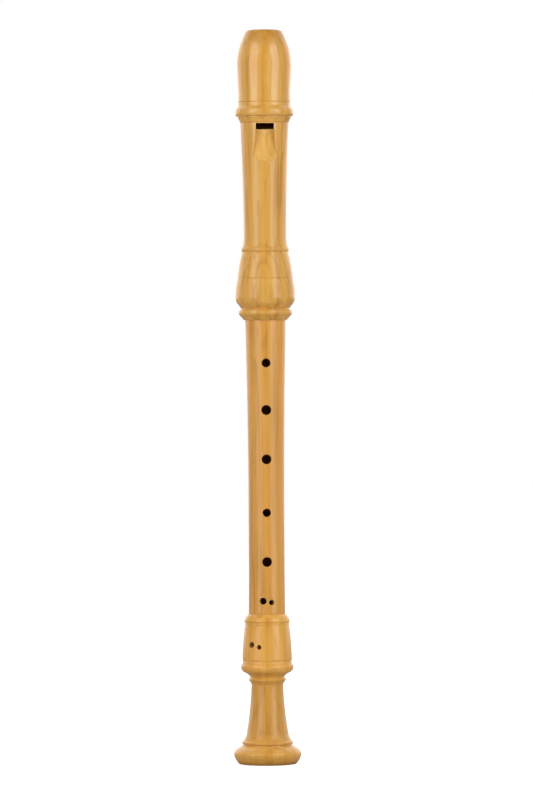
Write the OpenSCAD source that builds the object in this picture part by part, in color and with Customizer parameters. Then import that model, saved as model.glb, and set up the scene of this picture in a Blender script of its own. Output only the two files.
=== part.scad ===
// A turned wooden recorder in three joints, standing upright on its foot.
// The axis is +Z, the finger holes face -Y, and the origin is the centre of the foot's end face.
// Outlines are lists of [radius, height] points, and heights are in millimetres above that face.

/* [Joints] */
// Height of the foot joint
foot_h = 96; // [95:0.2:98]
// Height of the middle joint between the foot's rim and the head's rim
middle_h = 188.4; // [188:0.2:192]
// Height of the head joint
head_h = 185.6; // [185:0.2:188]

/* [Outside diameters] */
// Widest diameter of the foot's base
base_d = 43.2; // [42:0.2:45]
// Narrowest diameter of the foot, at the top of its flared waist
waist_d = 20.2; // [19.8:0.2:20.8]
// Widest diameter of the foot's barrel
barrel_d = 31.7; // [30.5:0.1:32]
// Diameter of the cylindrical stretch of the middle joint
middle_d = 23; // [22.6:0.1:23.2]
// Diameter of the middle joint under the head
middle_top_d = 26.1; // [25:0.1:27]
// Widest diameter of the bulb round the head's socket
bulb_d = 38.4; // [37.4:0.2:39]
// Narrowest diameter of the head's stem
stem_d = 27.5; // [27:0.1:28]
// Widest diameter of the ring above the window
ring_d = 37.9; // [37.3:0.2:38.7]
// Widest diameter of the crown round the mouthpiece
crown_d = 35.5; // [34.8:0.1:36.4]

/* [Bore] */
// Diameter of the head's bore
head_bore_d = 19.2; // [18.8:0.1:19.4]
// Diameter of the middle joint's bore at its upper end
bore_top_d = 18.6; // [18:0.1:18.6]
// Diameter of the middle joint's bore at its lower end
bore_low_d = 14; // [13.6:0.1:14.4]
// Diameter of the foot's bore where it leaves the foot
bore_exit_d = 12.5; // [12:0.1:13]
// Height of the cylindrical stretch at the foot's end of the bore
bore_exit_h = 45; // [40:1:50]

/* [Tenons and corks] */
// Length of the upper tenon
upper_tenon_l = 31.4; // [29:0.2:31.6]
// Diameter of the head's socket
upper_socket_d = 23.7; // [23.4:0.1:24]
// Length of the lower tenon
lower_tenon_l = 14; // [13:0.2:14.2]
// Diameter of the foot's socket
lower_socket_d = 19.5; // [19.2:0.1:19.8]
// Thickness of a cork band
cork_t = 0.9; // [0.7:0.1:1]
// Bare wood on each side of the upper cork
upper_cork_margin = 4.5; // [3:0.5:6]
// Bare wood on each side of the lower cork
lower_cork_margin = 2.5; // [2:0.5:3.5]

/* [Windway and window] */
// Width of the window and of the windway's exit
window_w = 11.6; // [11:0.1:11.8]
// Height of the window, from the block's face down to the lip
cut_up = 3.9; // [3.5:0.1:4.2]
// Height of the lip above the head's rim
lip_h = 121.8; // [121:0.1:122.2]
// Width of the windway at its mouth
windway_mouth_w = 11.9; // [11.8:0.1:12.6]
// Height of the windway at its exit
windway_exit_h = 0.8; // [0.6:0.05:0.9]
// Height of the windway at its mouth
windway_mouth_h = 0.85; // [0.8:0.05:1]
// Distance from the axis to the windway's floor
floor_y = 9.3; // [9.1:0.05:9.4]
// Radius of the beak's hollow curve
beak_r = 53; // [48:1:60]

/* [Finger holes] */
// Height of hole 1 above the foot's rim
hole_1_h = 161; // [159:0.1:164]
// Diameter of hole 1
hole_1_d = 5.6; // [4.5:0.1:6.5]
// Height of hole 2 above the foot's rim
hole_2_h = 130.9; // [129:0.1:134]
// Diameter of hole 2
hole_2_d = 6.3; // [4.5:0.1:6.5]
// Height of hole 3 above the foot's rim
hole_3_h = 99.4; // [98:0.1:102]
// Diameter of hole 3
hole_3_d = 6.2; // [4.5:0.1:6.5]
// Height of hole 4 above the foot's rim
hole_4_h = 65.2; // [63:0.1:68]
// Diameter of hole 4
hole_4_d = 5.3; // [4.5:0.1:6.5]
// Height of hole 5 above the foot's rim
hole_5_h = 33.7; // [32:0.1:36]
// Diameter of hole 5
hole_5_d = 6.2; // [4.5:0.1:6.5]
// Heights of pair 6 above the foot's rim, larger hole then smaller
hole_6_h = [8.7, 7.8]; // [7:0.1:9.5]
// Diameters of pair 6, larger then smaller
hole_6_d = [4.6, 3.5]; // [2.8:0.1:4.6]
// Heights of pair 7 above the foot's end, larger hole then smaller
hole_7_h = [76.8, 75.4]; // [74.5:0.1:77.5]
// Diameters of pair 7, larger then smaller
hole_7_d = [3.9, 2.9]; // [2.6:0.1:4.2]
// Turn of the foot joint that brings pair 7 under the little finger
foot_turn = -30; // [-40:1:0]
// Height of the thumb hole, at the back, above the foot's rim
thumb_h = 177; // [175:0.1:179]
// Diameter of the thumb hole
thumb_d = 5.8; // [5:0.1:6.2]

/* [Hidden] */
$fn = 96;

// Where the joints meet and end
head_z = foot_h + middle_h;
top_z = head_z + head_h;
lip_z = head_z + lip_h;
block_z = lip_z + cut_up;
upper_tenon_z = head_z + upper_tenon_l;
lower_tenon_z = foot_h - lower_tenon_l;

// Clearances
socket_gap = 0.6;     // free length past a tenon's end
cork_fit = 0.03;      // round a cork, and between it and its groove
cork_end_gap = 0.1;   // between a cork's end and its groove's shoulder
tenon_fit = 0.3;      // bare tenon wood inside its socket
block_fit = 0.04;     // round the block
past = 1;             // how far a cutter runs past the face it cuts
scribe = 0.25;        // depth and half width of a scribed line
edge = 0.5;           // chamfer on the mouth of a bore or socket

upper_groove_r = upper_socket_d / 2 - cork_fit - cork_t;
lower_groove_r = lower_socket_d / 2 - cork_fit - cork_t;
middle_r = middle_d / 2;
middle_low_r = middle_r + 0.2;

// The cylindrical stretch of the middle joint, between its two tapers
grip_z = [foot_h + 22, foot_h + 59];

// The labium: the lip's thickness, the ramp outside it and the flat carved under it
lip_t = 0.3;
lip_under_y = head_bore_d / 2;
ramp_slope = 0.13;
ramp_z = lip_z - 15.2;   // where the ramp starts to curve out to the surface
ramp_end = [15.2, lip_z - 21];  // [distance from the axis, height] past the surface
under_l = 15;            // length of the flat under the lip
under_end_y = 6.8;       // where that flat has run out into the bore
cut_from_y = 4.8;        // where cuts through the front wall start, inside the bore

// The flat facets that widen the ramp towards its foot: a point on the crease between ramp and
// facet, and how far each facet leans back and turns in towards the middle
facet_x = 7.2;
facet_y = 11.9;
facet_drop = 15.3;
facet_tilt = 7.2;
facet_turn = 64.3;
facet_w = 6;
facet_l = 24;

// The shallow dish that pair 6 lies in, filed across the front
dish_r = 7;
dish_depth = 0.95;
dish_z = foot_h + (hole_6_h[0] + hole_6_h[1]) / 2;
hole_6_turn = [-14.5, 14.7];
hole_7_turn = [foot_turn - 12.2, foot_turn + 8.5];

// Points of an arc from a to b, without b, that stands rise off the chord. It bulges to the
// right of the way from a to b, or is hollow there where rise is negative.
function bow(a, b, rise, steps = 6) =
    let (chord = b - a, l = norm(chord), along = chord / l, side = [along[1], -along[0]],
         r = (l * l / 4 + rise * rise) / (2 * abs(rise)), half = asin(l / (2 * r)))
    [for (i = [0 : steps - 1]) let (t = half * (2 * i / steps - 1))
        a + along * (l / 2 + r * sin(t)) + side * sign(rise) * (r * cos(t) - r + abs(rise))];

// The rise of an arc between a and b that stands upright, along the axis, at one of its ends
function upright(a, b) = norm(b - a) / 2 * tan(atan(abs((b[0] - a[0]) / (b[1] - a[1]))) / 2);

// An arc from a to b that is upright at its fuller end
function shoulder(a, b, steps = 6) = bow(a, b, upright(a, b), steps);

// A scribed V line of a given depth and half width at height z on a surface of radius r
function scribed(r, z, size = scribe) = [[r, z - size], [r - size, z], [r, z + size]];

// The middle joint's radius: a quadratic swell from the grip up to the head
function swell(z) =
    middle_r + (middle_top_d / 2 - middle_r) * pow((z - grip_z[1]) / (head_z - grip_z[1]), 2);

// A solid of revolution from an outline that runs up the outside; the axis closes it
module turned(outline) {
    low = outline[0];
    high = outline[len(outline) - 1];
    rotate_extrude() polygon(concat([[0, low[1]]], outline, [[0, high[1]]]));
}

// A hole bored from the axis out through the front, turned about the axis
module finger_hole(z, d, turn = 0) {
    rotate([0, 0, turn]) translate([0, 0, z]) rotate([90, 0, 0]) cylinder(d = d, h = crown_d);
}

// A bar of constant section along X, from an outline of [y, z] points
module along_x(outline, w) {
    rotate([90, 0, 90]) translate([0, 0, -w / 2]) linear_extrude(w) polygon(outline);
}

// A bar of constant section along Y through the front wall, from an outline of [x, z] points
module through_front(outline) {
    rotate([90, 0, 0]) linear_extrude(crown_d) polygon(outline);
}

// The hollow curve of the beak, cut from the back of the head and the block
module beak_cut() {
    tip_y = -1;
    rise_past_tip = 2;
    translate([0, beak_r + tip_y, top_z + rise_past_tip]) rotate([0, 90, 0])
        cylinder(r = beak_r, h = 2 * crown_d, center = true);
}

// The outline between the windway's two side walls, narrowed by a gap on each side
function windway_sides(gap) =
    let (exit = window_w / 2 - gap, mouth = windway_mouth_w / 2 - gap)
    [[-exit, block_z - past], [exit, block_z - past], [exit, block_z],
     [mouth, top_z + past], [-mouth, top_z + past], [-exit, block_z]];

// ---- Head joint

function head_outline() = concat(
    // flared rim and nosing below the bulb
    bow([13.7, head_z], [17, head_z + 3.8], 0.05, 3),
    bow([17, head_z + 3.8], [16.9, head_z + 6.5], 0.25, 4),
    [[15.7, head_z + 6.9], [15.5, head_z + 7.4]],
    // bulb
    bow([15.55, head_z + 7.5], [17.9, head_z + 10.6], -0.08, 3),
    shoulder([17.9, head_z + 10.6], [bulb_d / 2, head_z + 14.9]),
    shoulder([bulb_d / 2, head_z + 14.9], [18.6, head_z + 22.6], 4),
    bow([18.6, head_z + 22.6], [17.85, head_z + 26.6], 0.06, 2),
    scribed(17.8, head_z + 26.9),
    bow([17.75, head_z + 27.2], [15.3, head_z + 41.8], 0.28),
    // groove, bead and hollow flare up to the stem
    [[15, head_z + 42.9], [14.7, head_z + 43.6]],
    bow([14.95, head_z + 43.9], [14.7, head_z + 46.8], 0.52),
    bow([14.7, head_z + 46.8], [stem_d / 2, head_z + 54], -0.3),
    // stem, opening towards the window
    bow([stem_d / 2, head_z + 62.6], [15.6, head_z + 125.8], -0.28, 10),
    // fillet line, hollow cove and the ring above the window
    scribed(15.6, head_z + 126.3, 0.3),
    bow([15.85, head_z + 126.8], [17.35, head_z + 129.9], -0.15, 4),
    [[17.2, head_z + 130.3]],
    shoulder([18.2, head_z + 130.4], [ring_d / 2, head_z + 132.6], 4),
    shoulder([ring_d / 2, head_z + 132.6], [18.1, head_z + 135.6], 5),
    bow([18.1, head_z + 135.6], [17, head_z + 137.2], -0.1, 3),
    // collar, with its scribed line
    scribed(16.9, head_z + 139.4, 0.3),
    // crown, swelling and then rounding in to the beak's tip
    bow([16.9, head_z + 146], [crown_d / 2, head_z + 162.6], 0.08),
    shoulder([crown_d / 2, head_z + 162.6], [12.2, top_z - 1.5], 12),
    bow([12.2, top_z - 1.5], [10.8, top_z], 0.2, 3),
    [[10.8, top_z]]);

// What lies outside the ramp's surface, which ends in a hollow scoop
module ramp_solid() {
    ramp_foot_y = lip_under_y + lip_t + (lip_z - ramp_z) * ramp_slope;
    along_x(concat([[-lip_under_y - lip_t, lip_z]],
        [for (p = bow([ramp_foot_y, ramp_z], ramp_end, 0.35, 5)) [-p[0], p[1]]],
        [[-ramp_end[0], ramp_end[1]], [-crown_d, ramp_end[1]], [-crown_d, lip_z]]), 2 * crown_d);
}

// A block that cuts one facet; side is -1 or 1
module facet(side) {
    translate([side * facet_x, -facet_y, lip_z - facet_drop])
        rotate([facet_tilt, 0, -side * facet_turn])
        translate([-facet_l / 2, -facet_w, -facet_l])
        cube([facet_l, facet_w, 2 * facet_l]);
}

// The ramp: as wide as the window, with a facet on each side
module ramp_cut() {
    intersection() {
        ramp_solid();
        union() {
            translate([-window_w / 2, -crown_d, ramp_end[1] - past])
                cube([window_w, crown_d, lip_z - ramp_end[1] + 2 * past]);
            facet(-1);
            facet(1);
        }
    }
}

// The windway's channel in the head's wall, with a flat roof that rises towards the mouth
module windway_cut() {
    exit_y = floor_y + windway_exit_h;
    mouth_y = floor_y + windway_mouth_h;
    intersection() {
        along_x([[-cut_from_y, block_z - past], [-exit_y, block_z - past], [-exit_y, block_z],
            [-mouth_y, top_z + past], [-cut_from_y, top_z + past]], 2 * windway_mouth_w);
        through_front(windway_sides(0));
    }
}

// The window through the front wall, and the flat carved in the bore under its lip
module window_cut() {
    translate([-window_w / 2, -crown_d, lip_z]) cube([window_w, crown_d - cut_from_y, cut_up]);
    along_x([[-lip_under_y, lip_z + past], [-lip_under_y, lip_z], [-under_end_y, lip_z - under_l],
        [-cut_from_y, lip_z - under_l], [-cut_from_y, lip_z + past]], window_w);
}

module head_joint() {
    socket_end_z = upper_tenon_z + socket_gap;
    color("peru") difference() {
        turned(head_outline());
        translate([0, 0, head_z - past]) cylinder(d = head_bore_d, h = head_h + 2 * past);
        translate([0, 0, head_z - past]) cylinder(d = upper_socket_d, h = socket_end_z - head_z + past);
        translate([0, 0, head_z]) cylinder(r1 = upper_socket_d / 2 + edge, r2 = upper_socket_d / 2, h = edge);
        windway_cut();
        window_cut();
        ramp_cut();
        beak_cut();
    }
}

// ---- Block

module block() {
    block_r = head_bore_d / 2 - block_fit;
    color("rosybrown") difference() {
        union() {
            translate([0, 0, block_z]) cylinder(r = block_r, h = top_z - block_z);
            intersection() {
                along_x([[-cut_from_y, block_z], [-floor_y - past, block_z],
                    [-floor_y - past, top_z], [-cut_from_y, top_z]], 2 * windway_mouth_w);
                through_front(windway_sides(block_fit));
            }
        }
        translate([-windway_mouth_w, -floor_y - 2 * past, block_z - past])
            cube([2 * windway_mouth_w, 2 * past, top_z - block_z + 2 * past]);
        beak_cut();
    }
}

// ---- Middle joint

function middle_outline() =
    let (upper_r = upper_socket_d / 2 - tenon_fit,
         lower_r = lower_socket_d / 2 - tenon_fit)
    concat(
        // lower tenon with its cork groove
        [[lower_r - edge, lower_tenon_z], [lower_r, lower_tenon_z + edge],
         [lower_r, lower_tenon_z + lower_cork_margin],
         [lower_groove_r, lower_tenon_z + lower_cork_margin],
         [lower_groove_r, foot_h - lower_cork_margin],
         [lower_r, foot_h - lower_cork_margin], [lower_r, foot_h]],
        // body: a slight taper, the cylindrical grip, then the swell
        [[middle_low_r, foot_h], [middle_r, grip_z[0]]],
        [for (i = [0 : 10]) let (z = grip_z[1] + (head_z - grip_z[1]) * i / 10) [swell(z), z]],
        // upper tenon with its cork groove
        [[upper_r, head_z], [upper_r, head_z + upper_cork_margin],
         [upper_groove_r, head_z + upper_cork_margin], [upper_groove_r, upper_tenon_z - upper_cork_margin],
         [upper_r, upper_tenon_z - upper_cork_margin], [upper_r, upper_tenon_z - edge],
         [upper_r - edge, upper_tenon_z]]);

module middle_joint() {
    color("burlywood") difference() {
        turned(middle_outline());
        turned([[bore_low_d / 2, lower_tenon_z - past], [bore_low_d / 2, lower_tenon_z],
            [bore_top_d / 2, upper_tenon_z], [bore_top_d / 2, upper_tenon_z + past]]);
        finger_hole(foot_h + hole_1_h, hole_1_d);
        finger_hole(foot_h + hole_2_h, hole_2_d);
        finger_hole(foot_h + hole_3_h, hole_3_d);
        finger_hole(foot_h + hole_4_h, hole_4_d);
        finger_hole(foot_h + hole_5_h, hole_5_d);
        for (i = [0, 1]) finger_hole(foot_h + hole_6_h[i], hole_6_d[i], hole_6_turn[i]);
        translate([0, dish_depth - middle_low_r - dish_r, dish_z]) rotate([0, 90, 0])
            cylinder(r = dish_r, h = middle_d, center = true);
        finger_hole(foot_h + thumb_h, thumb_d, 180);
    }
}

// ---- Foot joint

function foot_outline() = concat(
    // rounded base, with a step up to the cove
    bow([18.4, 0], [base_d / 2, 5.6], 0.45, 8),
    shoulder([base_d / 2, 6.2], [20.2, 9], 5),
    [[20.2, 9]],
    // cove, fillet ring and upper cove
    bow([19.9, 9.3], [15.8, 12], 0.1, 4),
    [[15.7, 12.7], [16.4, 12.9], [16.45, 14.1]],
    bow([16, 14.3], [13.8, 18], -0.15, 4),
    // flared waist
    bow([13.6, 18.3], [waist_d / 2, 50.4], -0.6, 8),
    // small sharp astragal and the neck above it
    [[waist_d / 2, 50.6], [waist_d / 2 + 0.05, 51.2], [12, 53.9], [12, 54.35]],
    bow([11.8, 54.6], [10.95, 55.7], -0.12, 3),
    // ogee up to the ring below the barrel
    bow([11.1, 56.1], [15.2, 58.9], -0.3, 4),
    bow([15.2, 58.9], [16.45, 63.8], 0.85, 8),
    [[16.35, 63.95], [15.7, 64.2], [15.7, 65.3], [15.5, 65.9], [15.65, 66.6], [15.85, 66.9]],
    // barrel round the socket
    bow([barrel_d / 2, 67.4], [14.15, foot_h - 6.9], 0.25, 8),
    scribed(14.15, foot_h - 6.6),
    // hollow and rim, rounding in to the middle joint
    bow([14.15, foot_h - 6.3], [14.15, foot_h - 4.9], -0.06, 3),
    [[14.55, foot_h - 4.75]],
    bow([14.6, foot_h - 4.3], [12.2, foot_h - 0.2], 0.35),
    [[12.2, foot_h - 0.2], [11.95, foot_h]]);

module foot_joint() {
    socket_end_z = lower_tenon_z - socket_gap;
    color("tan") difference() {
        turned(foot_outline());
        translate([0, 0, -past]) cylinder(d = bore_exit_d, h = bore_exit_h + past);
        cylinder(r1 = bore_exit_d / 2 + edge, r2 = bore_exit_d / 2, h = edge);
        translate([0, 0, bore_exit_h])
            cylinder(d1 = bore_exit_d, d2 = bore_low_d, h = socket_end_z - bore_exit_h);
        translate([0, 0, socket_end_z]) cylinder(d = lower_socket_d, h = foot_h - socket_end_z + past);
        translate([0, 0, foot_h - edge])
            cylinder(r1 = lower_socket_d / 2, r2 = lower_socket_d / 2 + edge, h = edge);
        for (i = [0, 1]) finger_hole(hole_7_h[i], hole_7_d[i], hole_7_turn[i]);
    }
}

// ---- Tenon corks

// A cork band round a groove, from one of the groove's shoulders to the other
module cork_band(groove_r, low_z, high_z) {
    h = high_z - low_z - 2 * cork_end_gap;
    color("wheat") translate([0, 0, low_z + cork_end_gap]) difference() {
        cylinder(r = groove_r + cork_t, h = h);
        translate([0, 0, -past]) cylinder(r = groove_r + cork_fit, h = h + 2 * past);
    }
}

module upper_tenon_cork() {
    cork_band(upper_groove_r, head_z + upper_cork_margin, upper_tenon_z - upper_cork_margin);
}

module lower_tenon_cork() {
    cork_band(lower_groove_r, lower_tenon_z + lower_cork_margin, foot_h - lower_cork_margin);
}

head_joint();
block();
middle_joint();
foot_joint();
upper_tenon_cork();
lower_tenon_cork();
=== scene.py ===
"""A turned wooden alto recorder standing on its foot.

Outlines are (radius, height) points in millimetres, with heights above the foot's end as in the
CAD part. Each piece takes the place of one CAD node.
"""

import math

import bmesh
import bpy
from mathutils import Matrix, Vector


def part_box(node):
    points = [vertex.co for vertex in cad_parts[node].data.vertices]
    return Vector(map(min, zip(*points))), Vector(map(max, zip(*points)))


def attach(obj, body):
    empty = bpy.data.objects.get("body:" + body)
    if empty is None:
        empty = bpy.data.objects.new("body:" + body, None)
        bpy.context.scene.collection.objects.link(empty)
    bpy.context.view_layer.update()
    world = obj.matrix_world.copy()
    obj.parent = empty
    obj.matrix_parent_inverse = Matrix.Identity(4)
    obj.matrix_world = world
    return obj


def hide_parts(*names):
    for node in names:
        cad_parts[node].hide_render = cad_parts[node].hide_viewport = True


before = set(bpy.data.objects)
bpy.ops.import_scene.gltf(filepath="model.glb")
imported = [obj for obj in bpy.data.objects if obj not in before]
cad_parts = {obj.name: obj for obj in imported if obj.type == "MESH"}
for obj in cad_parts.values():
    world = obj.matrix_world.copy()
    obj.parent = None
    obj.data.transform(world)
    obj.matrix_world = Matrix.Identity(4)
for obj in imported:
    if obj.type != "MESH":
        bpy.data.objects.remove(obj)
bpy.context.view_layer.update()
scene = bpy.context.scene

MM = 0.001
SEGMENTS, CORK_SEGMENTS, HOLE_SIDES = 240, 160, 72  # round a turned piece, a cork band and a hole
RING_STEP = 1.6  # longest step along a turned piece
CORNER = 0.14  # rounding left on a turned edge by sanding
FLAT_ANGLE = 158  # degrees between an outline's two sides above which their corner isn't rounded
SHARP_ANGLE = 32  # degrees between two faces above which their edge is drawn sharp


def heights(node):
    """A CAD node's lowest and highest point, in millimetres."""
    return [round(corner.z / MM, 2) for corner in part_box(node)]


# Sizes shared with the CAD part, in millimetres; the frame says where the pieces start and end
FOOT_H = heights("foot_joint")[1]
HEAD_Z, TOP_Z = heights("head_joint")
LOWER_TENON_Z, UPPER_TENON_Z = heights("middle_joint")
BLOCK_Z = heights("block")[0]
HEAD_BORE_R, UPPER_SOCKET_R, LOWER_SOCKET_R = 9.6, 11.85, 9.75
BORE_TOP_R, BORE_LOW_R, BORE_EXIT_R, BORE_EXIT_H = 9.3, 7.0, 6.25, 45.0
SOCKET_GAP, BEVEL = 0.6, 0.5  # beyond a tenon's end, and at the mouth of a bore or socket
CORK_T, CORK_FIT, CORK_END_GAP, TENON_FIT, BLOCK_FIT = 0.9, 0.03, 0.1, 0.3, 0.04
UPPER_CORK = (HEAD_Z + 4.5, UPPER_TENON_Z - 4.5)
LOWER_CORK = (LOWER_TENON_Z + 2.5, FOOT_H - 2.5)
UPPER_GROOVE_R = UPPER_SOCKET_R - CORK_FIT - CORK_T
LOWER_GROOVE_R = LOWER_SOCKET_R - CORK_FIT - CORK_T
# the middle joint is a plain cylinder along GRIP_Z, and a little wider at both ends
GRIP_Z, GRIP_R, MIDDLE_LOW_R, MIDDLE_TOP_R = (118.0, 155.0), 11.5, 11.7, 13.05

# The windway, the window and the labium
WINDOW_W, WINDOW_H, WINDWAY_MOUTH_W = 11.6, 3.9, 11.9
WINDWAY_EXIT_H, WINDWAY_MOUTH_H, FLOOR_Y = 0.8, 0.85, 9.3
LIP_Z, LIP_UNDER_Y, LIP_T = BLOCK_Z - WINDOW_H, HEAD_BORE_R, 0.3
UNDER_CUT_Y, UNDER_CUT_L = 6.8, 15.0  # the flat carved under the lip
CUT_FROM_Y, CUT_TO_Y = 4.8, 26.0  # how deep and how far out a cut through the front wall runs
# the ramp comes out by its slope down to RAMP_Z, and then runs in a scoop to its end, (radius, height)
RAMP_SLOPE, RAMP_Z, RAMP_END = 0.13, LIP_Z - 15.2, (15.2, LIP_Z - 21.0)
# the flat facets that widen the ramp: a point on their crease, tilt and turn in degrees, width, length
FACET_X, FACET_Y, FACET_Z, FACET_TILT, FACET_TURN = 7.2, 11.9, LIP_Z - 15.3, 7.2, 64.3
FACET_W, FACET_L = 6.0, 24.0
BEAK_R, BEAK_TIP_Y, BEAK_RISE = 53.0, -1.0, 2.0

# (height, diameter, turn about the axis in degrees; 0 is the front and 180 the back)
MIDDLE_HOLES = [
    (257.0, 5.6, 0),
    (226.9, 6.3, 0),
    (195.4, 6.2, 0),
    (161.2, 5.3, 0),
    (129.7, 6.2, 0),
    (104.7, 4.6, -14.5),
    (103.8, 3.5, 14.7),
    (273.0, 5.8, 180),
]
FOOT_HOLES = [(76.8, 3.9, -42.2), (75.4, 2.9, -21.5)]
DISH_R, DISH_DEPTH, DISH_Z, DISH_W = 7.0, 0.95, 104.25, 24.0  # the dish round the sixth pair
HOLE_RIM, FOOT_HOLE_RIM = 0.38, 0.3  # the rounding of a hole's edge; in the dish the edge stays sharp
HOLE_FROM_Y, FOOT_HOLE_FROM_Y = 4.0, 3.5  # how near the axis a hole's cut starts, within the bore


# ---- Outlines


def bow(a, b, rise, steps=16):
    """Points of an arc from a to b, without b, that stands rise off the chord, to the right of the way."""
    a, b = Vector(a), Vector(b)
    length = (b - a).length
    along = (b - a) / length
    side = Vector((along.y, -along.x))
    r = (length * length / 4 + rise * rise) / (2 * abs(rise))
    half = math.asin(length / (2 * r))
    points = []
    for i in range(steps):
        t = half * (2 * i / steps - 1)
        out = math.copysign(r * math.cos(t) - r + abs(rise), rise)
        points.append(tuple(a + along * (length / 2 + r * math.sin(t)) + side * out))
    return points


def shoulder(a, b, steps=16):
    """An arc from a to b that is upright, along the axis, at its fuller end."""
    lean = math.atan(abs((b[0] - a[0]) / (b[1] - a[1])))
    return bow(a, b, math.dist(a, b) / 2 * math.tan(lean / 2), steps)


def scribed(r, z, size):
    """A scribed V line at height z."""
    return [(r, z - size), (r - size, z), (r, z + size)]


def eased(points, size=CORNER):
    """The outline with each sharp corner rounded off a little."""
    done = [points[0]]
    for before, p, after in zip(points, points[1:], points[2:]):
        before, p, after = Vector(before), Vector(p), Vector(after)
        back, on = before - p, after - p
        if back.length < 1e-6 or on.length < 1e-6:
            continue
        if back.angle(on) > math.radians(FLAT_ANGLE):
            done.append(tuple(p))
            continue
        cut = min(size, 0.45 * back.length, 0.45 * on.length)
        s, e = p + back.normalized() * cut, p + on.normalized() * cut
        for t in (0, 0.25, 0.5, 0.75, 1):
            done.append(tuple(s.lerp(p, t).lerp(p.lerp(e, t), t)))
    return done + [points[-1]]


def stepped(points, step=RING_STEP):
    """The outline with its long stretches split, so that a later cut stays local."""
    done = []
    for a, b in zip(points, points[1:]):
        n = max(1, math.ceil(math.dist(a, b) / step))
        done += [tuple(Vector(a).lerp(Vector(b), i / n)) for i in range(n)]
    return done + [points[-1]]


def head_outline():
    """The head joint's outside, from its rim to the beak's tip."""
    h = HEAD_Z
    return (
        # flared rim and nosing below the bulb
        bow((13.7, h), (17, h + 3.8), 0.05)
        + bow((17, h + 3.8), (16.9, h + 6.5), 0.25)
        + [(15.7, h + 6.9), (15.5, h + 7.4)]
        # bulb
        + bow((15.55, h + 7.5), (17.9, h + 10.6), -0.08)
        + shoulder((17.9, h + 10.6), (19.2, h + 14.9))
        + shoulder((19.2, h + 14.9), (18.6, h + 22.6))
        + bow((18.6, h + 22.6), (17.85, h + 26.6), 0.06)
        + scribed(17.8, h + 26.9, 0.25)
        + bow((17.75, h + 27.2), (15.3, h + 41.8), 0.28)
        # groove, bead and hollow flare up to the stem
        + [(15, h + 42.9), (14.7, h + 43.6)]
        + bow((14.95, h + 43.9), (14.7, h + 46.8), 0.52)
        + bow((14.7, h + 46.8), (13.75, h + 54), -0.3)
        # stem, opening towards the window
        + bow((13.75, h + 62.6), (15.6, h + 125.8), -0.28, 30)
        # fillet line, hollow cove and the ring above the window
        + scribed(15.6, h + 126.3, 0.3)
        + bow((15.85, h + 126.8), (17.35, h + 129.9), -0.15)
        + [(17.2, h + 130.3), (18.2, h + 130.4)]
        + shoulder((18.2, h + 130.4), (18.95, h + 132.6))
        + shoulder((18.95, h + 132.6), (18.1, h + 135.6))
        + bow((18.1, h + 135.6), (17, h + 137.2), -0.1)
        # collar, with its scribed line
        + scribed(16.9, h + 139.4, 0.3)
        # crown, swelling and then rounding in to the beak's tip
        + bow((16.9, h + 146), (17.75, h + 162.6), 0.08)
        + shoulder((17.75, h + 162.6), (12.2, TOP_Z - 1.5), 40)
        + bow((12.2, TOP_Z - 1.5), (10.8, TOP_Z), 0.2)
        + [(10.8, TOP_Z)]
    )


def swell(z):
    """The middle joint's radius above its cylindrical stretch."""
    return GRIP_R + (MIDDLE_TOP_R - GRIP_R) * ((z - GRIP_Z[1]) / (HEAD_Z - GRIP_Z[1])) ** 2


def middle_body():
    """The middle joint's outside between its tenons."""
    rise, steps = HEAD_Z - GRIP_Z[1], 40
    upper = [GRIP_Z[1] + rise * i / steps for i in range(steps + 1)]
    return [(MIDDLE_LOW_R, FOOT_H), (GRIP_R, GRIP_Z[0])] + [(swell(z), z) for z in upper]


def middle_outline():
    """The middle joint's outside with both tenons and their cork grooves."""
    upper_r, lower_r = UPPER_SOCKET_R - TENON_FIT, LOWER_SOCKET_R - TENON_FIT
    return (
        [(lower_r - BEVEL, LOWER_TENON_Z), (lower_r, LOWER_TENON_Z + BEVEL)]
        + [(lower_r, LOWER_CORK[0]), (LOWER_GROOVE_R, LOWER_CORK[0])]
        + [(LOWER_GROOVE_R, LOWER_CORK[1]), (lower_r, LOWER_CORK[1]), (lower_r, FOOT_H)]
        + middle_body()
        + [(upper_r, HEAD_Z), (upper_r, UPPER_CORK[0]), (UPPER_GROOVE_R, UPPER_CORK[0])]
        + [(UPPER_GROOVE_R, UPPER_CORK[1]), (upper_r, UPPER_CORK[1])]
        + [(upper_r, UPPER_TENON_Z - BEVEL), (upper_r - BEVEL, UPPER_TENON_Z)]
    )


def foot_barrel():
    """The foot joint's outside where its holes are."""
    return bow((15.85, 67.4), (14.15, FOOT_H - 6.9), 0.25, 24)


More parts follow.
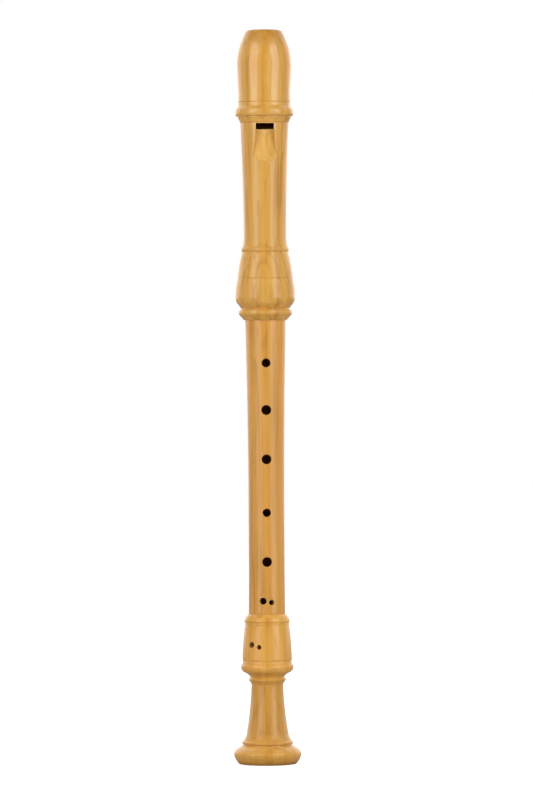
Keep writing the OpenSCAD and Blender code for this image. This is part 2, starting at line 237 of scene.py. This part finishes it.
def foot_outline():
    """The foot joint's outside, from its end face to its rim."""
    h = FOOT_H
    return (
        # rounded base, with a step up to the cove
        bow((18.4, 0), (21.6, 5.6), 0.45)
        + [(21.6, 6.2)]
        + shoulder((21.6, 6.2), (20.2, 9))
        + [(20.2, 9), (19.9, 9.05)]
        # cove, fillet ring and upper cove
        + bow((19.9, 9.3), (15.8, 12), 0.1)
        + [(15.7, 12.7), (16.4, 12.9), (16.45, 14.1)]
        + bow((16, 14.3), (13.8, 18), -0.15)
        # flared waist
        + bow((13.6, 18.3), (10.1, 50.4), -0.6, 30)
        # small sharp astragal and the neck above it
        + [(10.1, 50.6), (10.15, 51.2), (12, 53.9), (12, 54.35)]
        + bow((11.8, 54.6), (10.95, 55.7), -0.12)
        # ogee up to the ring below the barrel
        + bow((11.1, 56.1), (15.2, 58.9), -0.3)
        + bow((15.2, 58.9), (16.45, 63.8), 0.85)
        + [(16.35, 63.95), (15.7, 64.2), (15.7, 65.3), (15.5, 65.9), (15.65, 66.6), (15.85, 66.9)]
        # barrel round the socket
        + foot_barrel()
        + scribed(14.15, h - 6.6, 0.25)
        # hollow and rim, rounding in to the middle joint
        + bow((14.15, h - 6.3), (14.15, h - 4.9), -0.06)
        + [(14.55, h - 4.75), (14.6, h - 4.3)]
        + bow((14.6, h - 4.3), (12.2, h - 0.2), 0.35)
        + [(11.95, h)]
    )


# ---- Mesh work


def mesh_object(name, verts, faces):
    """A new object from points in millimetres, with its normals outwards."""
    mesh = bpy.data.meshes.new(name)
    mesh.from_pydata([Vector(v) * MM for v in verts], [], faces)
    shape = bmesh.new()
    shape.from_mesh(mesh)
    bmesh.ops.recalc_face_normals(shape, faces=shape.faces)
    shape.to_mesh(mesh)
    shape.free()
    obj = bpy.data.objects.new(name, mesh)
    scene.collection.objects.link(obj)
    return obj


def turned(name, outline, bore, segments=SEGMENTS):
    """A closed turned piece: outline runs up its outside and bore runs down its inside."""
    loop = stepped(eased(outline)) + stepped(eased(bore))
    verts, faces = [], []
    for r, z in loop:
        for s in range(segments):
            t = 2 * math.pi * s / segments
            verts.append((r * math.sin(t), -r * math.cos(t), z))
    n = len(loop)
    for i in range(n):
        j = (i + 1) % n
        for s in range(segments):
            u = (s + 1) % segments
            faces.append((i * segments + s, i * segments + u, j * segments + u, j * segments + s))
    return mesh_object(name, verts, faces)


def prism(name, outline, place):
    """A closed bar of constant section; place puts an outline point and a side, 0 or 1, in space."""
    n = len(outline)
    verts = [place(p, side) for side in (0, 1) for p in outline]
    faces = [tuple(range(n - 1, -1, -1)), tuple(range(n, 2 * n))]
    faces += [(i, (i + 1) % n, n + (i + 1) % n, n + i) for i in range(n)]
    return mesh_object(name, verts, faces)


def along_x(name, outline, w):
    """A bar of width w across the recorder, from (y, z) points."""
    return prism(name, outline, lambda p, side: ((side - 0.5) * w, p[0], p[1]))


def through_front(name, outline):
    """A bar from the axis out through the front, from (x, z) points."""
    return prism(name, outline, lambda p, side: (p[0], -CUT_TO_Y * side, p[1]))


def surface_r(outline, z):
    """The radius of an outline at height z."""
    for a, b in zip(outline, outline[1:]):
        if a[1] <= z <= b[1] and b[1] > a[1]:
            return a[0] + (b[0] - a[0]) * (z - a[1]) / (b[1] - a[1])
    raise ValueError(f"the outline has no height {z}")


def hole_cutter(name, outline, hole, inner_y, rim):
    """A hole's cutter: it follows the turned surface with a rounded rim, if any, and runs in to inner_y."""
    z0, d, turn = hole
    r = d / 2

    def inner(x, z):
        return -inner_y

    def outer(x, z):
        return -CUT_TO_Y

    def lifted(lift):
        return lambda x, z: -math.sqrt(surface_r(outline, z) ** 2 - x * x) - lift

    # each ring is a radius and the depth of its points; the rim's rings go nearly a quarter round,
    # and one more stands clear of the surface
    rings = [(r, inner)]
    if rim:
        for t in map(math.radians, (0, 18, 36, 54, 70)):
            rings.append((r + rim - rim * math.cos(t), lifted(rim * math.sin(t) - rim)))
        last_lift = rim * math.sin(math.radians(70)) - rim
        rings.append((rings[-1][0] + 0.6, lifted(last_lift + 0.25)))
    rings.append((rings[-1][0], outer))
    verts, faces = [], []
    for rho, depth in rings:
        for s in range(HOLE_SIDES):
            t = 2 * math.pi * s / HOLE_SIDES
            x, z = rho * math.cos(t), z0 + rho * math.sin(t)
            verts.append((x, depth(x, z), z))
    n = len(rings)
    faces.append(tuple(range(HOLE_SIDES)))
    faces.append(tuple(reversed(range((n - 1) * HOLE_SIDES, n * HOLE_SIDES))))
    for i in range(n - 1):
        a, b = i * HOLE_SIDES, (i + 1) * HOLE_SIDES
        for s in range(HOLE_SIDES):
            u = (s + 1) % HOLE_SIDES
            faces.append((a + u, a + s, b + s, b + u))
    obj = mesh_object(name, verts, faces)
    obj.data.transform(Matrix.Rotation(math.radians(turn), 4, "Z"))
    return obj


def combined(obj, cutters, operation="DIFFERENCE"):
    """obj with its cutters taken away, as a plain mesh. The cutters are used up."""
    for cutter in cutters:
        m = obj.modifiers.new(cutter.name, "BOOLEAN")
        m.object, m.operation, m.solver = cutter, operation, "EXACT"
    bpy.context.view_layer.update()
    done = bpy.data.meshes.new_from_object(obj.evaluated_get(bpy.context.evaluated_depsgraph_get()))
    obj.modifiers.clear()
    old, obj.data = obj.data, done
    done.name = obj.name
    bpy.data.meshes.remove(old)
    for cutter in cutters:
        mesh = cutter.data
        bpy.data.objects.remove(cutter)
        bpy.data.meshes.remove(mesh)
    return obj


def beak_cutter(name):
    """The hollow curve of the beak, on the back of the head and the block."""
    cy, cz, clear = BEAK_R + BEAK_TIP_Y, TOP_Z + BEAK_RISE, 60
    arc = []
    for i in range(101):
        t = math.radians(176 + 66 * i / 100)  # from just above the tip round to the foot of the curve
        arc.append((cy + BEAK_R * math.cos(t), cz + BEAK_R * math.sin(t)))
    return along_x(name, arc + [(clear, arc[-1][1]), (clear, arc[0][1])], clear)


def windway_sides(gap):
    """The windway from the front, widening to its mouth; gap is taken off each side."""
    exit_w, mouth_w = WINDOW_W / 2 - gap, WINDWAY_MOUTH_W / 2 - gap
    return [
        (-exit_w, BLOCK_Z - 1),
        (exit_w, BLOCK_Z - 1),
        (exit_w, BLOCK_Z),
        (mouth_w, TOP_Z + 1),
        (-mouth_w, TOP_Z + 1),
        (-exit_w, BLOCK_Z),
    ]


def ramp_solid(name):
    """What lies outside the ramp's surface, which ends in a hollow scoop."""
    foot_y = LIP_UNDER_Y + LIP_T + (LIP_Z - RAMP_Z) * RAMP_SLOPE
    scoop = bow((foot_y, RAMP_Z), RAMP_END, 0.35) + [RAMP_END]
    return along_x(
        name,
        [(-LIP_UNDER_Y - LIP_T, LIP_Z)] + [(-y, z) for y, z in scoop]
        + [(-CUT_TO_Y, RAMP_END[1]), (-CUT_TO_Y, LIP_Z)],
        2 * CUT_TO_Y,
    )


def facet(name, side):
    """A block that cuts one flat facet beside the ramp; side is -1 or 1."""
    place = Matrix.Translation((side * FACET_X, -FACET_Y, FACET_Z))
    place = place @ Matrix.Rotation(math.radians(-side * FACET_TURN), 4, "Z")
    place = place @ Matrix.Rotation(math.radians(FACET_TILT), 4, "X")
    w = FACET_L / 2
    corners = [(-w, -FACET_W), (-w, 0), (w, 0), (w, -FACET_W)]
    return prism(name, corners, lambda p, up: place @ Vector((p[0], p[1], FACET_L if up else -FACET_L)))


def head_cutters():
    """What is cut from the turned head: windway, window, labium and beak."""
    w, low = WINDOW_W / 2, RAMP_END[1] - 1
    strip = through_front("strip", [(-w, LIP_Z + 1), (-w, low), (w, low), (w, LIP_Z + 1)])
    opened = combined(strip, [facet("facet_left", -1), facet("facet_right", 1)], "UNION")
    ramp = combined(ramp_solid("ramp"), [opened], "INTERSECT")
    window = prism(
        "window",
        [(-w, LIP_Z), (w, LIP_Z), (w, BLOCK_Z), (-w, BLOCK_Z)],
        lambda p, side: (p[0], -CUT_TO_Y if side else -CUT_FROM_Y, p[1]),
    )
    under = along_x(
        "under_lip",
        [
            (-LIP_UNDER_Y, LIP_Z + 1),
            (-LIP_UNDER_Y, LIP_Z),
            (-UNDER_CUT_Y, LIP_Z - UNDER_CUT_L),
            (-CUT_FROM_Y, LIP_Z - UNDER_CUT_L),
            (-CUT_FROM_Y, LIP_Z + 1),
        ],
        WINDOW_W,
    )
    exit_y, mouth_y = FLOOR_Y + WINDWAY_EXIT_H, FLOOR_Y + WINDWAY_MOUTH_H
    windway = along_x(
        "windway",
        [
            (-CUT_FROM_Y, BLOCK_Z - 1),
            (-exit_y, BLOCK_Z - 1),
            (-exit_y, BLOCK_Z),
            (-mouth_y, TOP_Z + 1),
            (-CUT_FROM_Y, TOP_Z + 1),
        ],
        2 * WINDWAY_MOUTH_W,
    )
    windway = combined(windway, [through_front("windway_sides", windway_sides(0))], "INTERSECT")
    return [windway, window, under, ramp, beak_cutter("beak")]


HEAD_OUTLINE = head_outline()


def make_head():
    """The head joint, with its socket below and the block's bore above."""
    bore = [
        (HEAD_BORE_R + 0.1, TOP_Z),
        (HEAD_BORE_R, TOP_Z - 0.1),
        (HEAD_BORE_R, UPPER_TENON_Z + SOCKET_GAP),
        (UPPER_SOCKET_R, UPPER_TENON_Z + SOCKET_GAP),
        (UPPER_SOCKET_R, HEAD_Z + BEVEL),
        (UPPER_SOCKET_R + BEVEL, HEAD_Z),
    ]
    return combined(turned("head_turned", HEAD_OUTLINE, bore), head_cutters())


def make_block():
    """The fipple plug: a cylinder with a raised, flat-topped strip that is the windway's floor."""
    block_r = HEAD_BORE_R - BLOCK_FIT
    (exit_w, _), (mouth_w, mouth_z) = windway_sides(BLOCK_FIT)[2:4]
    levels, arc_n = 80, 120
    verts, faces = [], []
    for i in range(levels + 1):
        z = BLOCK_Z + (TOP_Z - BLOCK_Z) * i / levels
        half = exit_w + (mouth_w - exit_w) * (z - BLOCK_Z) / (mouth_z - BLOCK_Z)
        a0 = math.asin(half / block_r)
        for k in range(arc_n + 1):
            t = a0 + (2 * math.pi - 2 * a0) * k / arc_n
            verts.append((block_r * math.sin(t), -block_r * math.cos(t), z))
        verts += [(-half, -FLOOR_Y, z), (half, -FLOOR_Y, z)]
    n = arc_n + 3
    faces.append(tuple(reversed(range(n))))
    faces.append(tuple(range(levels * n, (levels + 1) * n)))
    for i in range(levels):
        for k in range(n):
            u = (k + 1) % n
            faces.append((i * n + k, i * n + u, (i + 1) * n + u, (i + 1) * n + k))
    return combined(mesh_object("block_plug", verts, faces), [beak_cutter("beak_block")])


def make_middle():
    """The middle joint, with a dish round its sixth pair of holes."""
    bore = [(BORE_TOP_R, UPPER_TENON_Z), (BORE_LOW_R, LOWER_TENON_Z)]
    centre_y, sides = MIDDLE_LOW_R - DISH_DEPTH + DISH_R, 160
    circle = []
    for i in range(sides):
        t = 2 * math.pi * i / sides
        circle.append((-centre_y + DISH_R * math.cos(t), DISH_Z + DISH_R * math.sin(t)))
    cutters = [along_x("dish", circle, DISH_W)]
    for i, hole in enumerate(MIDDLE_HOLES):
        rim = 0 if abs(hole[0] - DISH_Z) < DISH_R else HOLE_RIM
        cutters.append(hole_cutter(f"hole_{i}", middle_body(), hole, HOLE_FROM_Y, rim))
    return combined(turned("middle_turned", middle_outline(), bore), cutters)


def make_foot():
    """The foot joint, with its socket above and the bore's exit below."""
    bore = [
        (LOWER_SOCKET_R + BEVEL, FOOT_H),
        (LOWER_SOCKET_R, FOOT_H - BEVEL),
        (LOWER_SOCKET_R, LOWER_TENON_Z - SOCKET_GAP),
        (BORE_LOW_R, LOWER_TENON_Z - SOCKET_GAP),
        (BORE_EXIT_R, BORE_EXIT_H),
        (BORE_EXIT_R, BEVEL),
        (BORE_EXIT_R + BEVEL, 0),
    ]
    cutters = []
    for i, hole in enumerate(FOOT_HOLES):
        name = f"low_hole_{i}"
        cutters.append(hole_cutter(name, foot_barrel(), hole, FOOT_HOLE_FROM_Y, FOOT_HOLE_RIM))
    return combined(turned("foot_turned", foot_outline(), bore), cutters)


def make_cork(name, groove_r, low, high):
    """A band of cork in its groove, with its outer edges eased."""
    r_in, r_out = groove_r + CORK_FIT, groove_r + CORK_T
    low, high = low + CORK_END_GAP, high - CORK_END_GAP
    ease_r, ease_z = 0.25, 0.5
    outline = [(r_in, low), (r_out - ease_r, low), (r_out, low + ease_z)]
    outline += [(r_out, high - ease_z), (r_out - ease_r, high)]
    return turned(name, outline, [(r_in, high)], CORK_SEGMENTS)


# ---- Materials


class Tree:
    """A short way to write a node tree: each call adds a node and wires its inputs."""

    def __init__(self, owner):
        owner.use_nodes = True
        self.nodes, self.links = owner.node_tree.nodes, owner.node_tree.links
        self.nodes.clear()

    def add(self, kind, inputs=None, **settings):
        node = self.nodes.new(kind)
        for key, value in settings.items():
            setattr(node, key, value)
        for key, value in (inputs or {}).items():
            if isinstance(value, bpy.types.NodeSocket):
                self.links.new(value, node.inputs[key])
            else:
                node.inputs[key].default_value = value
        return node

    def math(self, operation, *values):
        return self.add("ShaderNodeMath", dict(enumerate(values)), operation=operation).outputs[0]

    def blend(self, first, *weighted):
        """The sum of the (value, weight) pairs and the number first."""
        total = first
        for value, weight in weighted:
            total = self.math("ADD", self.math("MULTIPLY", value, weight), total)
        return total

    def stretched(self, vector, scale, offset=(0, 0, 0)):
        inputs = {"Vector": vector, "Location": offset, "Scale": scale}
        return self.add("ShaderNodeMapping", inputs).outputs[0]

    def noise(self, vector, detail=2.0, roughness=0.5, distortion=0.0):
        inputs = {"Vector": vector, "Scale": 1.0, "Detail": detail}
        inputs.update({"Roughness": roughness, "Distortion": distortion})
        return self.add("ShaderNodeTexNoise", inputs).outputs["Fac"]

    def ramp(self, fac, stops, interpolation="LINEAR"):
        node = self.add("ShaderNodeValToRGB", {"Fac": fac})
        node.color_ramp.interpolation = interpolation
        points = node.color_ramp.elements
        while len(points) < len(stops):
            points.new(0.5)
        for point, (at, color) in zip(points, stops):
            point.position = at
            point.color = (*color, 1) if isinstance(color, tuple) else (color, color, color, 1)
        return node.outputs["Color"]

    def by_height(self, z, stops):
        """A ramp over heights in metres, stretched to its last stop so that it stays fine enough."""
        top = stops[-1][0]
        return self.ramp(self.math("DIVIDE", z, top), [(height / top, b) for height, b in stops])

    def mix(self, fac, a, b):
        node = self.add("ShaderNodeMix", data_type="RGBA")
        sockets = [s for s in node.inputs if s.enabled]
        for socket, value in zip(sockets, (fac, a, b)):
            if isinstance(value, bpy.types.NodeSocket):
                self.links.new(value, socket)
            else:
                socket.default_value = (*value, 1) if isinstance(value, tuple) else value
        return [s for s in node.outputs if s.enabled][0]

    def bump(self, height, strength, distance):
        inputs = {"Height": height, "Strength": strength, "Distance": distance}
        return self.add("ShaderNodeBump", inputs).outputs["Normal"]

    def surface(self, inputs):
        """The material's shader, wired to its output."""
        shader = self.add("ShaderNodeBsdfPrincipled", inputs)
        self.add("ShaderNodeOutputMaterial", {"Surface": shader.outputs[0]})


def new_material(name):
    """A material, its tree and its object coordinates in metres."""
    mat = bpy.data.materials.new(name)
    t = Tree(mat)
    return mat, t, t.add("ShaderNodeTexCoord").outputs["Object"]


def tinted(color, red, green, blue):
    """The colour with each channel multiplied."""
    return (color[0] * red, color[1] * green, color[2] * blue)


def growth_rings(t, own, x, y):
    """Tone of the growth rings: distance from the pith, bent by a slow drift along the grain."""
    dx, dy = t.math("ADD", x, -PITH[0]), t.math("ADD", y, -PITH[1])
    far = t.math("SQRT", t.math("ADD", t.math("MULTIPLY", dx, dx), t.math("MULTIPLY", dy, dy)))
    drift = t.noise(t.stretched(own, (70, 70, 9)))
    ring = t.math("FRACT", t.math("MULTIPLY", t.blend(far, (drift, 0.011)), 1 / RING_WIDTH))
    return t.ramp(ring, [(0.0, 0.25), (0.55, 0.5), (0.86, 1.0), (1.0, 0.25)], "EASE")


def with_painted_shade_and_highlight(t, color, dark):
    """The colour with painted shade dark in the grooves and hollows, and a painted highlight pale on the
    edges.
    """
    groove = t.add("ShaderNodeAmbientOcclusion", {"Distance": 0.0011}, samples=8, only_local=True)
    edge = t.add(
        "ShaderNodeAmbientOcclusion", {"Distance": 0.0008}, samples=8, only_local=True, inside=True
    )
    # painted shade: darker brown where the surface is hollow
    painted_groove_shade = t.ramp(groove.outputs["AO"], [(0.30, 0.8), (0.86, 0.0)])
    # painted highlight: paler where an edge stands out
    painted_edge_highlight = t.ramp(edge.outputs["AO"], [(0.45, 0.45), (0.88, 0.0)])
    return t.mix(painted_edge_highlight, t.mix(painted_groove_shade, color, tinted(dark, 0.45, 0.32, 0.25)), (0.86, 0.60, 0.24))


def wood(name, seed, light, mid, dark, roughness, coat, stain_and_painted_shade=()):
    """Fruitwood: faint growth rings, long fibres and slow colour drift, under oil and wax.

    coat is the weight of the polish, as a number or a list of (height in metres, weight); the last
    argument is a list of (height in metres, brightness) that darkens the wood: an oil and handling
    stain on the head's crown, and painted shade with a painted contact shadow low on the foot."""
    mat, t, at = new_material(name)
    own = t.stretched(at, (1, 1, 1), (0.31 * seed, 0.17 * seed, 0.53 * seed))
    x, y, z = t.add("ShaderNodeSeparateXYZ", {"Vector": at}).outputs

    # fibres and streaks along the grain
    fibre = t.noise(t.stretched(own, (1500, 1500, 45)), 3.0, 0.6)
    streaks = t.noise(t.stretched(own, (260, 260, 7)), 3.0, 0.55, 0.3)
    patch = t.noise(t.stretched(own, (45, 45, 14)))
    flecks = t.noise(t.stretched(own, (2600, 2600, 260)))
    rings = growth_rings(t, own, x, y)
    tone = t.blend(0.0, (streaks, 0.62), (rings, 0.10), (fibre, 0.14), (patch, 0.22))
    color = t.ramp(tone, [(0.41, light), (0.53, mid), (0.68, dark)], "EASE")

    # long redder streaks, where the wood took more oil, most of all on the crown
    oiled = t.ramp(t.noise(t.stretched(own, (190, 190, 5))), [(0.46, 0.0), (0.60, 1.0)])
    oiled = t.math("MULTIPLY", oiled, t.by_height(z, [(0.43, 0.25), (0.445, 0.85), (0.5, 0.85)]))
    color = t.mix(oiled, color, tinted(light, 0.94, 0.72, 0.42))
    color = t.mix(t.ramp(flecks, [(0.66, 0.0), (0.74, 0.10)]), color, tinted(dark, 0.7, 0.65, 0.5))
    # darker by height: a real oil stain on the head's crown; on the foot, painted shade darkest as a
    # painted contact shadow at the standing edge
    if stain_and_painted_shade:
        stain_and_shade_mask = t.math("SUBTRACT", 1.0, t.by_height(z, stain_and_painted_shade))
        color = t.mix(stain_and_shade_mask, color, tinted(dark, 0.5, 0.4, 0.3))

    t.surface({
        "Base Color": with_painted_shade_and_highlight(t, color, dark),
        "Roughness": t.blend(roughness - 0.09, (fibre, 0.10), (patch, 0.08)),
        "Normal": t.bump(t.blend(0.0, (fibre, 0.6), (flecks, 0.3)), 0.10, 0.00008),
        "IOR": 1.5,
        "Specular IOR Level": 0.3,
        "Coat Weight": t.by_height(z, coat) if isinstance(coat, list) else coat,
        "Coat Roughness": 0.12,
        "Coat IOR": 1.45,
    })
    return mat


def bore_wood(name, seed, light, dark):
    """The reamed inside: darker with oil, with faint tool rings."""
    mat, t, at = new_material(name)
    own = t.stretched(at, (1, 1, 1), (0.2 * seed, 0.4 * seed, 0.1 * seed))
    fibre = t.noise(t.stretched(own, (900, 900, 30)), 3.0, 0.6)
    rings = t.noise(t.stretched(own, (8, 8, 2600)))
    tone = t.blend(0.0, (fibre, 0.8), (rings, 0.2))
    t.surface({
        "Base Color": t.ramp(tone, [(0.3, light), (0.7, dark)]),
        "Roughness": t.blend(0.42, (fibre, 0.2)),
        "Normal": t.bump(tone, 0.15, 0.0001),
    })
    return mat


def cork(name):
    """Greased cork: pale grains in a brown ground, with small dark pits."""
    mat, t, at = new_material(name)
    cells = {"Vector": at, "Scale": 1300.0}
    grains = t.add("ShaderNodeTexVoronoi", cells)
    edges = t.add("ShaderNodeTexVoronoi", cells, feature="DISTANCE_TO_EDGE")
    tint = t.add("ShaderNodeSeparateColor", {"Color": grains.outputs["Color"]}).outputs[0]
    pale, middle, brown = (0.64, 0.41, 0.19), (0.54, 0.31, 0.125), (0.36, 0.18, 0.065)
    color = t.ramp(tint, [(0.0, brown), (0.5, middle), (1.0, pale)])
    seam = t.ramp(edges.outputs["Distance"], [(0.0, 1.0), (0.09, 0.0)])
    color = t.mix(t.math("MULTIPLY", seam, 0.5), color, (0.22, 0.10, 0.035))
    pits = t.ramp(t.noise(t.stretched(at, (900, 900, 900))), [(0.62, 0.0), (0.70, 1.0)])
    color = t.mix(t.math("MULTIPLY", pits, 0.7), color, (0.07, 0.035, 0.015))
    t.surface({
        "Base Color": color,
        "Roughness": t.blend(0.6, (tint, 0.2)),
        "Normal": t.bump(t.blend(0.0, (tint, 0.3), (seam, -1.0), (pits, -1.0)), 0.5, 0.00012),
        "Sheen Weight": 0.1,
    })
    return mat


def cedar(name):
    """Bare pencil cedar: reddish, with straight close grain."""
    mat, t, at = new_material(name)
    bands = t.noise(t.stretched(at, (520, 90, 9)), 3.0, 0.6, 0.2)
    fibre = t.noise(t.stretched(at, (2200, 2200, 60)), 3.0, 0.6)
    tone = t.blend(0.0, (bands, 0.7), (fibre, 0.3))
    pale, red, dark = (0.60, 0.32, 0.13), (0.52, 0.24, 0.085), (0.34, 0.13, 0.045)
    t.surface({
        "Base Color": t.ramp(tone, [(0.35, pale), (0.52, red), (0.68, dark)]),
        "Roughness": t.blend(0.5, (fibre, 0.2)),
        "Normal": t.bump(tone, 0.25, 0.0001),
    })
    return mat


# in metres: the middle of the tree, seen from the recorder's axis, and one year's growth
PITH, RING_WIDTH = (0.006, 0.075), 0.0026
LIGHT, MID, DARK = (0.705, 0.391, 0.088), (0.655, 0.348, 0.070), (0.50, 0.232, 0.036)
HEAD_COAT = [(0.40, 0.22), (0.43, 0.60), (0.5, 0.60)]
HEAD_STAIN = [(0.457, 1.0), (0.4695, 0.70), (0.5, 0.70)]
# painted shade over the foot's lower part, most on the waist, deepest as a painted contact shadow at the
# standing edge
FOOT_PAINTED_SHADE = [(0.0, 0.35), (0.0020, 0.88), (0.012, 0.94), (0.017, 0.73), (0.050, 0.73), (0.056, 1.0)]

head_wood = wood("pear_head", 1, LIGHT, MID, DARK, 0.33, HEAD_COAT, HEAD_STAIN)
middle_wood = wood("pear_middle", 2, (0.70, 0.358, 0.076), (0.65, 0.316, 0.060), DARK, 0.39, 0.26)
foot_wood = wood(
    "pear_foot", 3, (0.78, 0.415, 0.087), (0.73, 0.376, 0.071), (0.60, 0.29, 0.048),
    0.38, 0.22, FOOT_PAINTED_SHADE,
)
knife_cut = wood(
    "pear_knife_cut", 5, (0.76, 0.47, 0.135), (0.72, 0.42, 0.105), (0.60, 0.32, 0.07), 0.55, 0.0
)
inside_wood = bore_wood("pear_bore", 4, (0.62, 0.36, 0.12), (0.48, 0.26, 0.08))
cork_look = cork("tenon_cork_grain")
cedar_look = cedar("block_cedar_grain")


# ---- Pieces in their places


def in_ramp(c):
    """Whether a face's centre, in millimetres, is on the knife-cut faces of the labium.

    The small numbers are the play that a centre has beside a curved surface."""
    widest = 9.0
    if not (RAMP_END[1] - 0.2 < c.z < LIP_Z - 0.02 and abs(c.x) < widest and c.y < -LIP_UNDER_Y - 0.05):
        return False
    return math.hypot(c.x, c.y) < surface_r(HEAD_OUTLINE, c.z) - 0.02


def in_hole(c, holes):
    """Whether a point in millimetres is on the wall of a drilled hole, with a little play."""
    for z0, d, turn in holes:
        t = math.radians(turn)
        along = c.x * math.sin(t) - c.y * math.cos(t)
        across = c.x * math.cos(t) + c.y * math.sin(t)
        if along > 0 and math.hypot(across, c.z - z0) < d / 2 + 0.03:
            return True
    return False


# Whether a face is inside a piece: r is its largest radius and z its height, in millimetres, with
# a little play added to the bore's own radius


def in_head_bore(r, z):
    return r < (UPPER_SOCKET_R if z < UPPER_TENON_Z + SOCKET_GAP + 0.1 else HEAD_BORE_R) + 0.08


def in_middle_bore(r, z):
    opening = (BORE_TOP_R - BORE_LOW_R) / (UPPER_TENON_Z - LOWER_TENON_Z)
    bore_r = BORE_LOW_R + opening * (z - LOWER_TENON_Z)
    return r < bore_r + 0.06 and LOWER_TENON_Z < z < UPPER_TENON_Z


def in_foot_bore(r, z):
    widest = LOWER_SOCKET_R if z > LOWER_TENON_Z - SOCKET_GAP - 0.1 else BORE_LOW_R
    return r < widest + 0.06 and 0 < z < FOOT_H


def finished(obj, body, node, outer, inner=None, inside=None, holes=(), cut=None):
    """Shading, materials and its place in the frame.

    inside says whether a face takes the inner finish, from its largest radius and its height."""
    mesh = obj.data
    mesh.materials.clear()
    for mat in (outer, inner, cut):
        if mat:
            mesh.materials.append(mat)
    mesh.polygons.foreach_set("use_smooth", [True] * len(mesh.polygons))
    mesh.set_sharp_from_angle(angle=math.radians(SHARP_ANGLE))
    for p in mesh.polygons:
        c = p.center / MM
        r = max(mesh.vertices[v].co.xy.length for v in p.vertices) / MM
        if cut and in_ramp(c):
            p.material_index = 2
        elif inner and (inside(r, c.z) or in_hole(c, holes)):
            p.material_index = 1
        else:
            p.material_index = 0
    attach(obj, body)
    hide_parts(node)


finished(
    make_head(), "head", "head_joint", head_wood, inside_wood, in_head_bore, cut=knife_cut
)
finished(make_block(), "block", "block", cedar_look)
finished(
    make_middle(), "middle", "middle_joint", middle_wood, inside_wood, in_middle_bore,
    MIDDLE_HOLES,
)
finished(
    make_foot(), "foot", "foot_joint", foot_wood, inside_wood, in_foot_bore, FOOT_HOLES
)
finished(
    make_cork("upper_cork_band", UPPER_GROOVE_R, *UPPER_CORK),
    "upper_cork", "upper_tenon_cork", cork_look,
)
finished(
    make_cork("lower_cork_band", LOWER_GROOVE_R, *LOWER_CORK),
    "lower_cork", "lower_tenon_cork", cork_look,
)


# ---- Stage, light and camera


def make_floor():
    """A wide round floor that stays white except close under the foot."""
    verts, faces = [(0, 0, 0)], []
    radii, sides = [30, 60, 150, 400, 1200, 4000], 96
    turns = [2 * math.pi * s / sides for s in range(sides)]
    for r in radii:
        verts += [(r * math.cos(t), r * math.sin(t), 0) for t in turns]
    for s in range(sides):
        faces.append((0, 1 + s, 1 + (s + 1) % sides))
    for k in range(len(radii) - 1):
        a, b = 1 + k * sides, 1 + (k + 1) * sides
        for s in range(sides):
            u = (s + 1) % sides
            faces.append((a + s, b + s, b + u, a + u))
    obj = mesh_object("floor", verts, faces)
    mat, t, at = new_material("white_floor")
    grain = t.noise(t.stretched(at, (40, 40, 40)))
    seen = t.add("ShaderNodeLightPath").outputs["Is Camera Ray"]
    t.surface({
        "Base Color": t.ramp(grain, [(0.3, 0.38), (0.7, 0.42)]),
        "Roughness": 0.9,
        "Specular IOR Level": 0.1,
        "Emission Color": (1, 1, 1, 1),
        "Emission Strength": t.math("MULTIPLY", seen, 0.78),
    })
    obj.data.materials.append(mat)


def make_world():
    """A white surround: bright behind the recorder, and dimmer where the room is."""
    world = bpy.data.worlds.new("studio")
    scene.world = world
    t = Tree(world)
    direction = t.add("ShaderNodeTexCoord").outputs["Generated"]
    y = t.add("ShaderNodeSeparateXYZ", {"Vector": direction}).outputs["Y"]
    level = t.ramp(t.blend(0.5, (y, 0.5)), [(0.0, 0.29), (0.52, 0.29), (0.74, 1.0)], "EASE")
    room = t.add("ShaderNodeBackground", {"Color": level, "Strength": t.math("ADD", y, 1.0)})
    plain = t.add("ShaderNodeBackground", {"Color": (1, 1, 1, 1), "Strength": 1.0})
    seen = t.add("ShaderNodeLightPath").outputs["Is Camera Ray"]
    both = t.add("ShaderNodeMixShader", {0: seen, 1: room.outputs[0], 2: plain.outputs[0]})
    t.add("ShaderNodeOutputWorld", {"Surface": both.outputs[0]})


def softbox(name, azimuth, width, power):
    """A tall soft light; azimuth 0 stands at the camera's side and 90 stands at +X."""
    distance, height, tall, aim = 1.3, 0.62, 1.4, Vector((0, 0, 0.25))
    light = bpy.data.lights.new(name, "AREA")
    light.shape, light.size, light.size_y, light.energy = "RECTANGLE", width, tall, power
    obj = bpy.data.objects.new(name, light)
    a = math.radians(azimuth)
    obj.location = (distance * math.sin(a), -distance * math.cos(a), height)
    obj.rotation_euler = (aim - obj.location).to_track_quat("-Z", "Y").to_euler()
    scene.collection.objects.link(obj)


def make_camera():
    """A long lens 3 m away, a little above the middle of the recorder and looking slightly down."""
    distance, height, azimuth = 3.0, 0.27165, math.radians(-1.4)
    pan, tilt, roll = azimuth + math.radians(-0.00857), math.radians(0.7346), math.radians(-0.31)
    cam = bpy.data.cameras.new("camera")
    cam.sensor_fit, cam.sensor_width, cam.lens = "AUTO", 36.0, 210.578
    cam.clip_start, cam.clip_end = 0.05, 50
    obj = bpy.data.objects.new("camera", cam)
    scene.collection.objects.link(obj)
    obj.location = (distance * math.sin(azimuth), -distance * math.cos(azimuth), height)
    turn = Matrix.Rotation(pan, 4, "Z") @ Matrix.Rotation(math.pi / 2 - tilt, 4, "X")
    turn = turn @ Matrix.Rotation(roll, 4, "Z")
    obj.rotation_mode = "QUATERNION"
    obj.rotation_quaternion = turn.to_quaternion()
    scene.camera = obj


make_floor()
make_world()
softbox("left_softbox", -47, 0.80, 13.0)
softbox("right_softbox", 44, 0.75, 13.5)
make_camera()
scene.view_settings.view_transform = "Standard"
